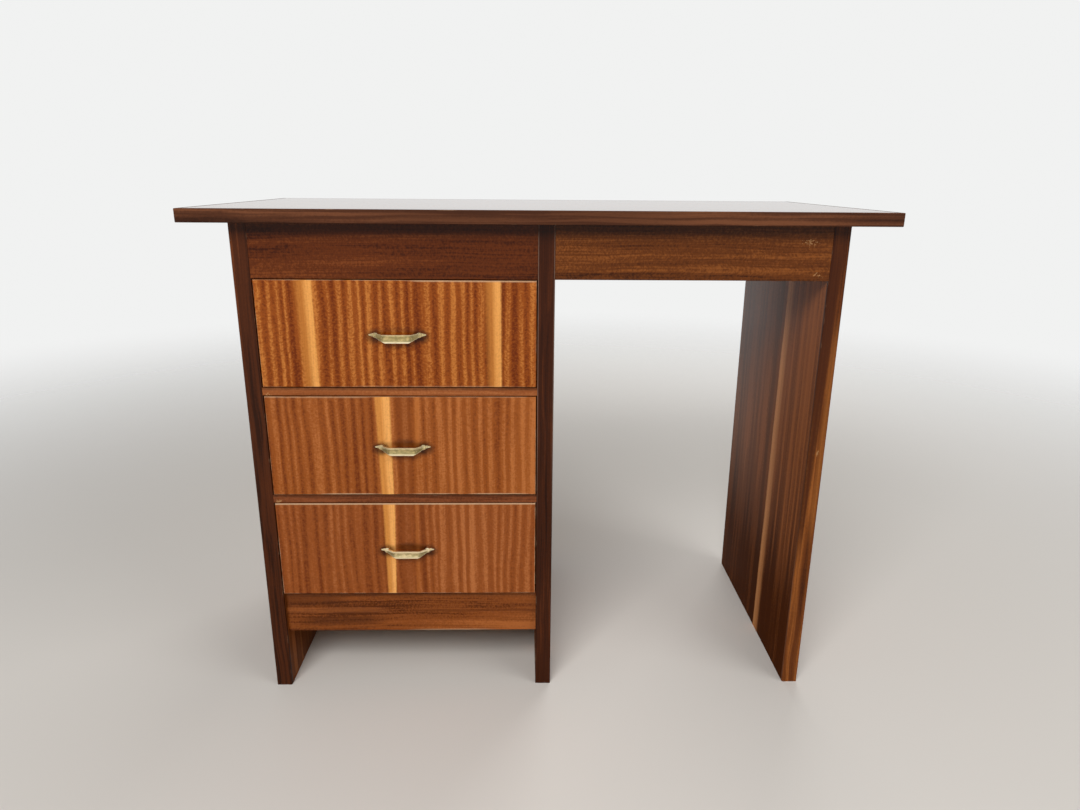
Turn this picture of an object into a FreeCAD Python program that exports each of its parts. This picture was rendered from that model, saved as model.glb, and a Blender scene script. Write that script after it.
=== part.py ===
import FreeCAD
import Part
import os

# Writing desk with a three-drawer pedestal on the left and a kneehole on the right, in millimetres.
# The origin is on the floor under the middle of the desktop. +X is to the right of a person sitting
# at the desk, +Y is towards its back and +Z is up. Every physical piece is a node of its own.

# Desktop
desk_width = 1000.0
desk_depth = 490.0
desk_height = 780.0
top_thickness = 19.0
top_lipping = 8.0
top_edge_radius = 1.2
side_overhang = 59.0
front_overhang = 30.0
rear_overhang = 47.0

# Upright panels, with a solid lipping on the front edge of each
panel_thickness = 25.0
panel_lipping = 5.0
panel_edge_radius = 1.5
pedestal_width = 410.0

# Rails between the panels
rail_height = 79.0
rail_thickness = 20.0
rail_edge_radius = 0.8
plinth_lift = 98.0
plinth_height = 74.0
plinth_recess = 10.0
divider_thickness = 12.0
divider_depth = 45.0
divider_housing = 6.0

# Stub tenons that join the rails to the panels
tenon_thickness = 8.0
tenon_setback = 9.0
tenon_shoulder = 12.0
tenon_web = 5.0
tenon_end_room = 0.5

# Back of the pedestal
back_thickness = 5.0
back_rebate = 10.0

# Runners and kickers that guide the drawers, let into grooves in the panels
runner_width = 22.0
runner_housing = 5.0

# Cleats glued into the corners between the panels and the desktop
cleat_size = 20.0
cleat_chamfer = 7.0
cleat_end_room = 5.0

# Drawers
drawer_count = 3
drawer_gap = 1.5
drawer_back_room = 23.0
drawer_front_thickness = 20.0
drawer_front_radius = 0.8
drawer_side_thickness = 11.0
drawer_side_radius = 1.0
drawer_back_thickness = 11.0
drawer_back_drop = 6.0
drawer_bottom_thickness = 4.0
drawer_bottom_lift = 10.0
groove_depth = 5.0
slide_clearance = 0.3
kick_clearance = 3.0
front_lap = 6.0
tail_count = 5
tail_end_margin = 5.0
tail_pin_width = 6.0
tail_slope = 1.0 / 7.0
stop_height = 6.0
stop_length = 36.0
stop_depth = 9.0
stop_shares = (0.25, 0.75)

# Brass pulls, measured from the point midway between their posts on the drawer front
pull_spacing = 64.0
pull_foot_reach = 10.0
pull_foot_width = 6.4
pull_foot_tip_width = 1.4
pull_foot_thickness = 2.0
pull_foot_tip_thickness = 1.2
pull_post_radius = 4.0
pull_post_height = 5.4
pull_post_chamfer = 1.0
pull_projection = 12.5
pull_strap_root = 4.8
pull_strap_thickness = 2.4
pull_bend_radius = 2.0
pull_grip_top_width = 42.0
pull_grip_bottom_width = 34.0
pull_grip_top = 1.8
pull_grip_bottom = 10.5
pull_arm_half_height = 3.0
pull_cove_radius = 9.0
pull_cove_depth = 0.8
pull_cove_drop = 4.4
pull_screw_diameter = 4.0
pull_screw_bite = 3.6
pull_screw_head_diameter = 7.6
pull_screw_head_height = 2.6
pull_screw_crown_diameter = 5.0
pull_screw_slot_width = 1.0
pull_screw_slot_depth = 1.0

# Fits
fit_gap = 0.1
overrun = 5.0

# Positions that follow from the sizes
top_low = desk_height - top_thickness
front = front_overhang - desk_depth / 2
back = desk_depth / 2 - rear_overhang
left_outside = side_overhang - desk_width / 2
left_inside = left_outside + panel_thickness
middle_left = left_inside + pedestal_width
middle_right = middle_left + panel_thickness
right_outside = desk_width / 2 - side_overhang
right_inside = right_outside - panel_thickness
core_front = front + panel_lipping
rail_low = top_low - rail_height
plinth_top = plinth_lift + plinth_height
plinth_front = front + plinth_recess
back_panel_front = back - back_thickness
drawer_end = back_panel_front - drawer_back_room
tenon_length = (panel_thickness - tenon_web) / 2
divider_pitch = (rail_low - plinth_top + divider_thickness) / drawer_count
drawer_front_height = divider_pitch - divider_thickness - 2 * drawer_gap
tier_names = ("upper", "middle", "lower")
divider_names = ("upper", "lower")

X = FreeCAD.Vector(1, 0, 0)
Y = FreeCAD.Vector(0, 1, 0)
Z = FreeCAD.Vector(0, 0, 1)
parts = {}


# Shape helpers


def block(x, y, z):
    """A box between the low and high values given for each axis."""
    corner = FreeCAD.Vector(x[0], y[0], z[0])
    return Part.makeBox(x[1] - x[0], y[1] - y[0], z[1] - z[0], corner)


def prism(points, direction):
    """A straight extrusion of a closed outline."""
    return Part.Face(Part.makePolygon(list(points) + [points[0]])).extrude(direction)


def edges_on(shape, axis, value, along=None):
    """The edges that lie in one plane across an axis, or only those that run along another axis."""
    found = []
    for edge in shape.Edges:
        ends = [vertex.Point.dot(axis) for vertex in edge.Vertexes]
        if max(abs(end - value) for end in ends) > fit_gap / 2:
            continue
        run = edge.Vertexes[-1].Point.sub(edge.Vertexes[0].Point)
        if along is None or abs(abs(run.dot(along)) - run.Length) < fit_gap / 2:
            found.append(edge)
    return found


def round_bar(place, direction, radius, length):
    """A cylinder that starts at a place and runs along a direction."""
    return Part.makeCylinder(radius, length, place, direction)


def joined(shapes):
    """Separate solids kept together in one node."""
    return Part.makeCompound(shapes)


# Joinery positions


def tenon(face_x, way, rail_y, z, gap=0.0):
    """The stub tenon of a rail that meets a panel face, going that way. With a gap it is the mortise."""
    x = sorted((face_x, face_x + way * (tenon_length - tenon_end_room + gap)))
    inwards = 1 if rail_y[1] > rail_y[0] else -1
    near = rail_y[0] + inwards * tenon_setback
    y = sorted((near, near + inwards * tenon_thickness))
    return block(x, y, (z[0] + tenon_shoulder, z[1] - tenon_shoulder))


def rail_spans():
    """X, Y and Z spans of each tenoned rail. The Y span starts at the rail's show face."""
    pedestal_x = (left_inside, middle_left)
    kneehole_x = (middle_right, right_inside)
    upper_z = (rail_low, top_low)
    front_y = (front, front + rail_thickness)
    plinth_y = (plinth_front, plinth_front + rail_thickness)
    return {
        "pedestal_top_rail": (pedestal_x, front_y, upper_z),
        "plinth_rail": (pedestal_x, plinth_y, (plinth_lift, plinth_top)),
        "kneehole_front_rail": (kneehole_x, front_y, upper_z),
        "kneehole_rear_rail": (kneehole_x, (back, back - rail_thickness), upper_z),
    }


def mortises(panel_x):
    """The mortises for the rails that end at either face of a panel."""
    cuts = []
    for rail_x, rail_y, z in rail_spans().values():
        for face_x, way in ((rail_x[0], -1), (rail_x[1], 1)):
            if face_x in panel_x:
                cuts.append(tenon(face_x, way, rail_y, z, tenon_end_room))
    return cuts


def divider_levels():
    """The underside of each divider rail, from the upper one down."""
    return [rail_low - divider_pitch * (tier + 1) for tier in range(drawer_count - 1)]


def runner_levels():
    """The top of the runners under each drawer, from the upper drawer down."""
    return [level + divider_thickness for level in divider_levels()] + [plinth_top]


def guide_levels():
    """Name, underside and front end of each pair of runners, and of the kickers over the upper drawer."""
    levels = [("{}_kicker", rail_low, front + rail_thickness)]
    for tier, top in enumerate(runner_levels()):
        start = front + divider_depth if tier < drawer_count - 1 else plinth_front + rail_thickness
        levels.append((tier_names[tier] + "_{}_runner", top - divider_thickness, start))
    return levels


def guide_spans(side):
    """Name and X, Y, Z spans of the runners and kicker on one side, with the part let into the panel."""
    x = (left_inside - runner_housing, left_inside + runner_width)
    if side == "right":
        x = (middle_left - runner_width, middle_left + runner_housing)
    spans = []
    for name, level, start in guide_levels():
        spans.append((name.format(side), x, (start, back_panel_front), (level, level + divider_thickness)))
    return spans


def housings(side):
    """The slots in one panel for the runners, the kicker and the ends of the divider rails."""
    slots = [block(x, y, z) for _, x, y, z in guide_spans(side)]
    x = (left_inside - divider_housing, left_inside)
    if side == "right":
        x = (middle_left, middle_left + divider_housing)
    y = (core_front, front + divider_depth)
    return slots + [block(x, y, (low, low + divider_thickness)) for low in divider_levels()]


# Desktop


def make_desktop():
    """A veneered core with a mitred solid lipping on its four edges."""
    x = (-desk_width / 2, desk_width / 2)
    y = (-desk_depth / 2, desk_depth / 2)
    z = (top_low, desk_height)
    core_x = (x[0] + top_lipping, x[1] - top_lipping)
    core_y = (y[0] + top_lipping, y[1] - top_lipping)
    parts["desktop_panel"] = block(core_x, core_y, z)

    slab = block(x, y, z)
    ring = slab.makeFillet(top_edge_radius, edges_on(slab, Z, z[0]) + edges_on(slab, Z, z[1]))
    ring = ring.cut(block(core_x, core_y, (z[0] - overrun, z[1] + overrun)))

    depth = desk_depth / 2
    inner = desk_width / 2 - depth
    sides = {
        "front": [(x[0], y[0]), (x[1], y[0]), (inner, 0), (-inner, 0)],
        "rear": [(x[0], y[1]), (-inner, 0), (inner, 0), (x[1], y[1])],
        "left": [(x[0], y[0]), (-inner, 0), (x[0], y[1])],
        "right": [(x[1], y[0]), (x[1], y[1]), (inner, 0)],
    }
    for side, outline in sides.items():
        wedge = prism([FreeCAD.Vector(px, py, z[0]) for px, py in outline], Z * top_thickness)
        parts[f"desktop_{side}_lipping"] = ring.common(wedge)


# Upright panels


def make_panel(name, x, inner_side=None):
    """One upright panel and its front lipping. The pedestal's two panels are slotted on the side given."""
    tools = mortises(x)
    if inner_side:
        rebate_x = (left_inside - back_rebate, left_inside + overrun)
        if inner_side == "right":
            rebate_x = (middle_left - overrun, middle_left + back_rebate)
        rebate_z = (plinth_lift - fit_gap, top_low + overrun)
        tools.append(block(rebate_x, (back_panel_front, back + overrun), rebate_z))
        tools += housings(inner_side)
    parts[f"{name}_panel"] = block(x, (core_front, back), (0, top_low)).cut(tools)

    strip = block(x, (front, core_front), (0, top_low))
    strip = strip.makeFillet(panel_edge_radius, edges_on(strip, Y, front, Z))
    parts[f"{name}_lipping"] = strip


def make_panels():
    make_panel("left_side", (left_outside, left_inside), "left")
    make_panel("middle", (middle_left, middle_right), "right")
    make_panel("right_side", (right_inside, right_outside))


# Rails


def make_rails():
    """The deep rails, with stub tenons and with the arrises of their show faces eased."""
    for name, (x, y, z) in rail_spans().items():
        rail = block(x, sorted(y), z)
        rail = rail.makeFillet(rail_edge_radius, edges_on(rail, Y, y[0], X))
        ends = [tenon(x[0], -1, y, z), tenon(x[1], 1, y, z)]
        parts[name] = rail.fuse(ends).removeSplitter()


def make_dividers():
    """Thin rails between the drawers, with their ends let into the panels behind the lippings."""
    for tier, low in enumerate(divider_levels()):
        z = (low, low + divider_thickness)
        show = block((left_inside, middle_left), (front, front + divider_depth), z)
        show = show.makeFillet(rail_edge_radius, edges_on(show, Y, front, X))
        tongue_x = (left_inside - divider_housing, middle_left + divider_housing)
        tongue = block(tongue_x, (core_front, front + divider_depth), z)
        parts[f"{divider_names[tier]}_divider_rail"] = show.fuse(tongue).removeSplitter()


# Back, runners, cleats and stops


def make_back():
    """The thin back of the pedestal, in rebates in the two panels."""
    x = (left_inside - back_rebate + fit_gap, middle_left + back_rebate - fit_gap)
    parts["pedestal_back_panel"] = block(x, (back_panel_front, back), (plinth_lift, top_low))


def make_guides():
    """Runners under every drawer, and kickers that keep the upper drawer from tipping."""
    for side in ("left", "right"):
        for name, x, y, z in guide_spans(side):
            parts[name] = block(x, y, z)


def make_cleats():
    """Battens glued to the desktop and to a panel, with the free corner chamfered off."""
    low = top_low - cleat_size
    start = front + rail_thickness + cleat_end_room
    pedestal_run = back_panel_front - cleat_end_room - start
    kneehole_run = back - rail_thickness - cleat_end_room - start
    for name, wall, way, run in (
        ("left_cleat", left_inside, 1, pedestal_run),
        ("middle_left_cleat", middle_left, -1, pedestal_run),
        ("middle_right_cleat", middle_right, 1, kneehole_run),
        ("right_cleat", right_inside, -1, kneehole_run),
    ):
        free = wall + way * cleat_size
        profile = [(wall, top_low), (wall, low), (free - way * cleat_chamfer, low)]
        profile += [(free, low + cleat_chamfer), (free, top_low)]
        parts[name] = prism([FreeCAD.Vector(x, start, z) for x, z in profile], Y * run)


def make_stops():
    """Small blocks on the rails that stop each drawer with its front flush."""
    stops = []
    y = front + drawer_front_thickness + slide_clearance
    for level in runner_levels():
        for share in stop_shares:
            middle = left_inside + pedestal_width * share
            span = (middle - stop_length / 2, middle + stop_length / 2)
            stops.append(block(span, (y, y + stop_depth), (level, level + stop_height)))
    parts["drawer_stops"] = joined(stops)


# Drawers


def tails(x, y_shoulder, y_end, z):
    """Dovetails on the end of a drawer side: wider at the end than at the shoulder."""
    room = z[1] - z[0] - 2 * tail_end_margin
    width = (room - (tail_count - 1) * tail_pin_width) / tail_count
    flare = abs(y_end - y_shoulder) * tail_slope
    made = []
    for count in range(tail_count):
        low = z[0] + tail_end_margin + count * (width + tail_pin_width)
        outline = [
            FreeCAD.Vector(x[0], y_shoulder, low + flare / 2),
            FreeCAD.Vector(x[0], y_end, low - flare / 2),
            FreeCAD.Vector(x[0], y_end, low + width + flare / 2),
            FreeCAD.Vector(x[0], y_shoulder, low + width - flare / 2),
        ]
        made.append(prism(outline, X * (x[1] - x[0])))
    return made


def pull_bow():
    """Plan of the strap: half its points, from a post inwards, as distance from the middle and out."""
    post = pull_spacing / 2
    bend = pull_grip_top_width / 2
    run = post - bend
    rise = pull_projection - pull_strap_root
    step = pull_strap_thickness * (run**2 + rise**2) ** 0.5 / run
    inner = bend - (step - pull_strap_thickness) * run / rise
    outside = [(post, pull_strap_root), (bend, pull_projection)]
    inside = [(inner, pull_projection - pull_strap_thickness), (post, pull_strap_root - step)]
    return outside, inside


def pull_strap(at):
    """The bent strap of a pull: its plan and its front view meet, and the grip is coved."""
    outside, inside = pull_bow()
    plan = outside + [(-x, out) for x, out in outside[::-1]]
    plan += [(-x, out) for x, out in inside[::-1]] + inside
    low = pull_grip_bottom + overrun
    bow = prism([at(x, out, -low) for x, out in plan], Z * (low + pull_grip_top + overrun))
    for out, radius in (
        (outside[1][1], pull_bend_radius + pull_strap_thickness),
        (inside[0][1], pull_bend_radius),
    ):
        bow = bow.makeFillet(radius, edges_on(bow, Y, at(0, out, 0).y, Z))

    post = pull_spacing / 2
    top = pull_grip_top_width / 2
    bottom = pull_grip_bottom_width / 2
    half_view = [
        (top, pull_grip_top),
        (post, pull_arm_half_height),
        (post, -pull_arm_half_height),
        (bottom, -pull_grip_bottom),
    ]
    view = half_view + [(-x, z) for x, z in half_view[::-1]]
    strap = bow.common(prism([at(x, -overrun, z) for x, z in view], -Y * (pull_projection + 2 * overrun)))
    cove_out = pull_projection - pull_cove_depth + pull_cove_radius
    cove = round_bar(at(-post, cove_out, -pull_cove_drop), X, pull_cove_radius, pull_spacing)
    return strap.cut(cove)


def pull_foot(at, side):
    """A round post and the pointed leaf that lies flat on the drawer front beyond it."""
    post = side * pull_spacing / 2
    tip = post + side * pull_foot_reach
    boss = round_bar(at(post, 0, 0), -Y, pull_post_radius, pull_post_height)
    boss = boss.makeChamfer(pull_post_chamfer, edges_on(boss, Y, at(0, pull_post_height, 0).y))
    root = pull_foot_width / 2
    point = pull_foot_tip_width / 2
    profile = [(post, 0), (tip, 0), (tip, pull_foot_tip_thickness), (post, pull_foot_thickness)]
    outline = [(post, -root), (tip, -point), (tip, point), (post, root)]
    leaf = prism([at(x, out, -root) for x, out in profile], Z * pull_foot_width)
    leaf = leaf.common(prism([at(x, 0, z) for x, z in outline], -Y * pull_foot_thickness))
    return boss.fuse(leaf)


def make_pull(node, centre):
    """A cast brass pull: pointed feet, round posts and a strap that bows out to a coved grip."""

    def at(x, out, z):
        return FreeCAD.Vector(centre.x + x, centre.y - out, centre.z + z)

    solid = pull_strap(at).fuse([pull_foot(at, -1), pull_foot(at, 1)]).removeSplitter()
    radius = pull_screw_diameter / 2 + fit_gap
    depth = pull_screw_bite + fit_gap
    holes = []
    for side in (-1, 1):
        mouth = at(side * pull_spacing / 2, -overrun, 0)
        holes.append(round_bar(mouth, -Y, radius, overrun + depth))
    parts[f"{node}_pull"] = solid.cut(holes)


def pull_screws(centre, gap):
    """The machine screws through a drawer front into the pull's posts, or the holes for them."""
    made = []
    inside = centre.y + drawer_front_thickness
    for side in (-1, 1):
        place = FreeCAD.Vector(centre.x + side * pull_spacing / 2, inside, centre.z)
        length = drawer_front_thickness + pull_screw_bite
        shank = round_bar(place, -Y, pull_screw_diameter / 2 + gap, length)
        if gap:
            made.append(shank)
            continue
        crown = place + Y * pull_screw_head_height
        head_radii = (pull_screw_crown_diameter / 2, pull_screw_head_diameter / 2)
        head = Part.makeCone(*head_radii, pull_screw_head_height, crown, -Y)
        slot = block(
            (place.x - pull_screw_head_diameter, place.x + pull_screw_head_diameter),
            (crown.y - pull_screw_slot_depth, crown.y + overrun),
            (place.z - pull_screw_slot_width / 2, place.z + pull_screw_slot_width / 2),
        )
        made.append(shank.fuse(head).cut(slot))
    return made


def make_drawer(tier, runner_top):
    """One drawer: a lapped-dovetailed front, two sides, a back, a sliding-in bottom and a pull."""
    node = f"{tier_names[tier]}_drawer"
    x = (left_inside + drawer_gap, middle_left - drawer_gap)
    inner_x = (x[0] + drawer_side_thickness, x[1] - drawer_side_thickness)
    front_z = (runner_top + drawer_gap, runner_top + drawer_gap + drawer_front_height)
    side_z = (runner_top + slide_clearance, runner_top + divider_pitch - divider_thickness - kick_clearance)
    front_back = front + drawer_front_thickness
    back_front = drawer_end - drawer_back_thickness
    bottom_low = side_z[0] + drawer_bottom_lift
    bottom_top = bottom_low + drawer_bottom_thickness
    back_z = (bottom_top, side_z[1] - drawer_back_drop)

    sheet_x = (inner_x[0] - groove_depth, inner_x[1] + groove_depth)
    sheet_y = (front_back - groove_depth, drawer_end)
    groove = block(
        (sheet_x[0] - fit_gap, sheet_x[1] + fit_gap),
        (sheet_y[0] - fit_gap, drawer_end + overrun),
        (bottom_low, bottom_top),
    )
    parts[f"{node}_bottom"] = block(sheet_x, sheet_y, (bottom_low, bottom_top))

    sides = {"left": (x[0], inner_x[0]), "right": (inner_x[1], x[1])}
    front_tails = []
    back_tails = []
    for side, span in sides.items():
        lapped = tails(span, front_back, front + front_lap, (front_z[0], side_z[1]))
        through = tails(span, back_front, drawer_end, back_z)
        board = block(span, (front_back, drawer_end), side_z)
        board = board.makeFillet(drawer_side_radius, edges_on(board, Z, side_z[1], Y))
        board = board.cut(block(span, (back_front, drawer_end + overrun), back_z))
        front_tails += lapped
        back_tails += through
        parts[f"{node}_{side}_side"] = board.fuse(lapped + through).removeSplitter().cut(groove)

    centre = FreeCAD.Vector((x[0] + x[1]) / 2, front, (front_z[0] + front_z[1]) / 2)
    board = block(x, (front, front_back), front_z)
    board = board.makeFillet(drawer_front_radius, edges_on(board, Y, front))
    parts[f"{node}_front"] = board.cut(front_tails + [groove] + pull_screws(centre, fit_gap))
    board = block(x, (back_front, drawer_end), back_z)
    parts[f"{node}_back"] = board.cut(back_tails)
    make_pull(node, centre)
    parts[f"{node}_pull_screws"] = joined(pull_screws(centre, 0))


# The whole desk

make_desktop()
make_panels()
make_rails()
make_dividers()
make_back()
make_guides()
make_cleats()
make_stops()
for tier_index, level_top in enumerate(runner_levels()):
    make_drawer(tier_index, level_top)

os.makedirs("parts", exist_ok=True)
for part_name, part_shape in parts.items():
    part_shape.exportStep(f"parts/{part_name}.step")
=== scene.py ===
import math

import bmesh
import bpy
from mathutils import Matrix, Vector


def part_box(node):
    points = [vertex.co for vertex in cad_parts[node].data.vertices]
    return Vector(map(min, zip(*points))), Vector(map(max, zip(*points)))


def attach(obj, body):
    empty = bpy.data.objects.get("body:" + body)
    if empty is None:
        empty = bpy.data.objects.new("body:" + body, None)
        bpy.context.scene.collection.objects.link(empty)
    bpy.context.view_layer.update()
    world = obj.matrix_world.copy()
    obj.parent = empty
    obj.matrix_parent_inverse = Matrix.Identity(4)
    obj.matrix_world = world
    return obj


# Looks of the writing desk, in metres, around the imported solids. +X is to the right of a person
# sitting at the desk, +Y is towards its back and +Z is up.

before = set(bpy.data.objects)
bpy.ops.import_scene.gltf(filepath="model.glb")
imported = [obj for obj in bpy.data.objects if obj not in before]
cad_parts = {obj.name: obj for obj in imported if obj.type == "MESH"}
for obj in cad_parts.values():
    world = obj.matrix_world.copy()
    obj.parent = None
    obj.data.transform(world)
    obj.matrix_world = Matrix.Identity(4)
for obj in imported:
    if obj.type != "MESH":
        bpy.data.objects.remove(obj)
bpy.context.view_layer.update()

# Camera: where the photograph was taken from
camera_place = Vector((-0.02560, -1.30837, 0.82457))
camera_pitch = math.radians(16.827)
camera_roll = math.radians(0.439)
camera_yaw = math.radians(1.264)
camera_sensor = 36.0
image_width = 1080
focal_pixels = 755.9

# Studio
floor_reach = 14.0
floor_solid_reach = 0.75
floor_fade_reach = 3.6
floor_colour = (0.68, 0.645, 0.60)
floor_tint = 1.05
backdrop_colour = (0.88, 0.885, 0.88)
ambient_light = 0.22
lamp_aim = Vector((0.0, 0.0, 0.45))
lamps = {
    "key_lamp": {"place": Vector((-0.8, -2.4, 2.2)), "size": (1.5, 1.1), "power": 66.0},
    "fill_lamp": {"place": Vector((1.9, -1.5, 2.0)), "size": (1.6, 1.6), "power": 20.0},
    "back_lamp": {"place": Vector((0.9, 2.4, 2.0)), "size": (1.6, 1.2), "power": 30.0},
}

# Panel pins: radius and rise above the sheet, from the middle of the head to the point
pin_profile = ((0.0003, 0.00042), (0.0009, 0.00034), (0.0014, 0.00014), (0.0016, -0.00010), (0.0009, -0.0006),
               (0.0006, -0.0009), (0.0006, -0.0040), (0.0001, -0.0046))
pin_sides = 14
pin_inset = 0.005
pin_end_gap = 0.022
back_pins = 8
bottom_pin_shares = (0.06, 0.35, 0.65, 0.94)

# Grain directions: turns that bring the grain onto the Z axis of a texture
upright = (0.0, 0.0, 0.0)
along_width = (0.0, math.pi / 2, 0.0)
along_depth = (math.pi / 2, 0.0, 0.0)

tiers = ("upper", "middle", "lower")

# Where the front faces of the rails and lippings lie
front_face = -0.215

# Lacquer: how dull its film is and how much that varies, its gloss, and the depth of the grain under it
film_dullness = 0.34
film_smudge = 0.2
gloss_roughness = 0.09
grain_depth = 0.00006

# Pale rubbed edges, partly bare wood where the lacquer is rubbed through and partly a painted highlight, and
# bare wood where it is chipped
worn_and_highlit_colour = (0.55, 0.36, 0.22, 1.0)
worn_roughness = 0.2
chip_strength = 0.5
chip_colour = (0.56, 0.31, 0.125, 1.0)

# Streaks: how much of the board's own fibres and flecks shows through them
streak_fibre = 0.16
streak_fleck = 0.12

# Lines along an edge, rubbed pale and painted as a highlight: how far in they lie, half their width, and how
# slowly they end
worn_highlight_inset = 0.0012
worn_highlight_half = 0.0010
worn_highlight_fade = 0.03

# Painted shade in dark patches: above the grip of a pull, together with dirt from handling, and alone as
# painted shadow round its two feet
dirt_and_shade_colour = (0.035, 0.010, 0.003, 1.0)
grip_dirt_and_shade_shift = 0.003
grip_dirt_and_shade_drop = 0.001
grip_dirt_and_shade_reach = (0.030, 0.02, 0.012)
foot_shadow_inset = 0.009
foot_shadow_drop = 0.007
foot_shadow_reach = (0.019, 0.02, 0.0145)
foot_shadow_amount = 0.95

# Painted shade in the corner along a rail: how far it spreads along the rail and into it
corner_shade_length = 0.9
corner_shade_depth = 0.05

# Bare wood: soiled patches and edges, and the depth of its grain
soiled_colour = (0.72, 0.62, 0.50, 1.0)
soiled_edge_colour = (0.55, 0.44, 0.32, 1.0)
soiled_edge_width = 0.0012
bare_grain_depth = 0.0001

# Plywood: the share of its thickness in each outer layer, and the stain of the end grain between them
outer_layer_share = 0.3
middle_layer_colour = (0.55, 0.42, 0.30, 1.0)

# Brass of the pulls: its bright and dull tones, painted lighter as a highlight on the lower pull, and how
# much painted highlight and rubbing its upper lip has, by tier
brass_tones = {
    "upper": ((0.68, 0.53, 0.24), (0.43, 0.345, 0.15), 0.1),
    "middle": ((0.68, 0.54, 0.25), (0.44, 0.355, 0.16), 0.35),
    "lower": ((0.90, 0.74, 0.42), (0.58, 0.475, 0.24), 1.0),
}
rubbed_and_highlit_brass_colour = (1.0, 0.85, 0.55, 1.0)
# Painted shade on the arms of a pull
arm_shade_colour = (0.20, 0.15, 0.06, 1.0)
arm_shade_strength = 0.7
cast_depth = 0.00010

# Pulls: heights over which the lower lip ends and the upper lip starts, and distances from the middle
# over which the painted shade on each arm starts and ends
lower_lip_end = (0.0030, 0.0020)
upper_lip_start = (0.0092, 0.0104)
arm_start = (0.0165, 0.0215)
arm_end = (0.0335, 0.0300)

# Plated steel of the screws and pins
steel_colour = (0.58, 0.57, 0.55, 1.0)
dull_steel_colour = (0.30, 0.27, 0.23, 1.0)


# Node trees


class Graph:
    """A node tree, with short ways to add nodes and join them."""

    def __init__(self, tree):
        self.tree = tree

    def add(self, kind, sockets=None, **settings):
        """A node with its settings. Sockets are set to a value, or joined to another node's output."""
        node = self.tree.nodes.new(kind)
        for name, value in settings.items():
            setattr(node, name, value)
        for socket, value in (sockets or {}).items():
            if isinstance(value, bpy.types.NodeSocket):
                self.tree.links.new(value, node.inputs[socket])
            else:
                node.inputs[socket].default_value = value
        return node

    def maths(self, operation, first, second=0.0, clamp=False):
        node = self.add("ShaderNodeMath", {0: first, 1: second}, operation=operation, use_clamp=clamp)
        return node.outputs[0]

    def vector(self, operation, first, second):
        return self.add("ShaderNodeVectorMath", {0: first, 1: second}, operation=operation).outputs[0]

    def spread(self, value, low, high, to_low=0.0, to_high=1.0):
        """A value eased from one range to another, and held at the ends."""
        sockets = {0: value, 1: low, 2: high, 3: to_low, 4: to_high}
        return self.add("ShaderNodeMapRange", sockets, interpolation_type="SMOOTHSTEP").outputs[0]

    def mix(self, share, first, second, blend="MIX"):
        sockets = {0: share, 6: first, 7: second}
        return self.add("ShaderNodeMix", sockets, data_type="RGBA", blend_type=blend).outputs[2]

    def noise(self, vector, cells, detail=2.0, roughness=0.5):
        """Noise with so many cells to a metre along each axis of the vector."""
        scaled = self.vector("MULTIPLY", vector, cells)
        sockets = {"Vector": scaled, "Scale": 1.0, "Detail": detail, "Roughness": roughness}
        return self.add("ShaderNodeTexNoise", sockets).outputs[0]

    def axes(self, vector):
        return self.add("ShaderNodeSeparateXYZ", {0: vector}).outputs

    def group(self, name, sockets):
        return self.add("ShaderNodeGroup", sockets, node_tree=bpy.data.node_groups[name]).outputs

    def place(self, turn=upright, offset=(0.0, 0.0, 0.0)):
        """Where a point is on the desk, turned so that the grain runs along Z, and moved by an offset."""
        here = self.add("ShaderNodeTexCoord").outputs["Object"]
        sockets = {"Vector": here, "Rotation": turn, "Location": offset}
        return self.add("ShaderNodeMapping", sockets).outputs[0]


def new_group(name, inputs, outputs):
    """An empty node group. Inputs give a name and a default value, which tells the kind of socket."""
    tree = bpy.data.node_groups.new(name, "ShaderNodeTree")
    kinds = {1: "NodeSocketFloat", 3: "NodeSocketVector", 4: "NodeSocketColor"}
    for socket_name, default in inputs.items():
        count = len(default) if isinstance(default, tuple) else 1
        socket = tree.interface.new_socket(socket_name, in_out="INPUT", socket_type=kinds[count])
        socket.default_value = default
    for socket_name, count in outputs.items():
        tree.interface.new_socket(socket_name, in_out="OUTPUT", socket_type=kinds[count])
    graph = Graph(tree)
    graph.given = graph.add("NodeGroupInput").outputs
    graph.result = graph.add("NodeGroupOutput").inputs
    return graph


def give(graph, name, value):
    """Joins a value to one of a group's outputs."""
    graph.tree.links.new(value, graph.result[name])


def colour(red, green, blue):
    return (red, green, blue, 1.0)


# Shared effects


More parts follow.
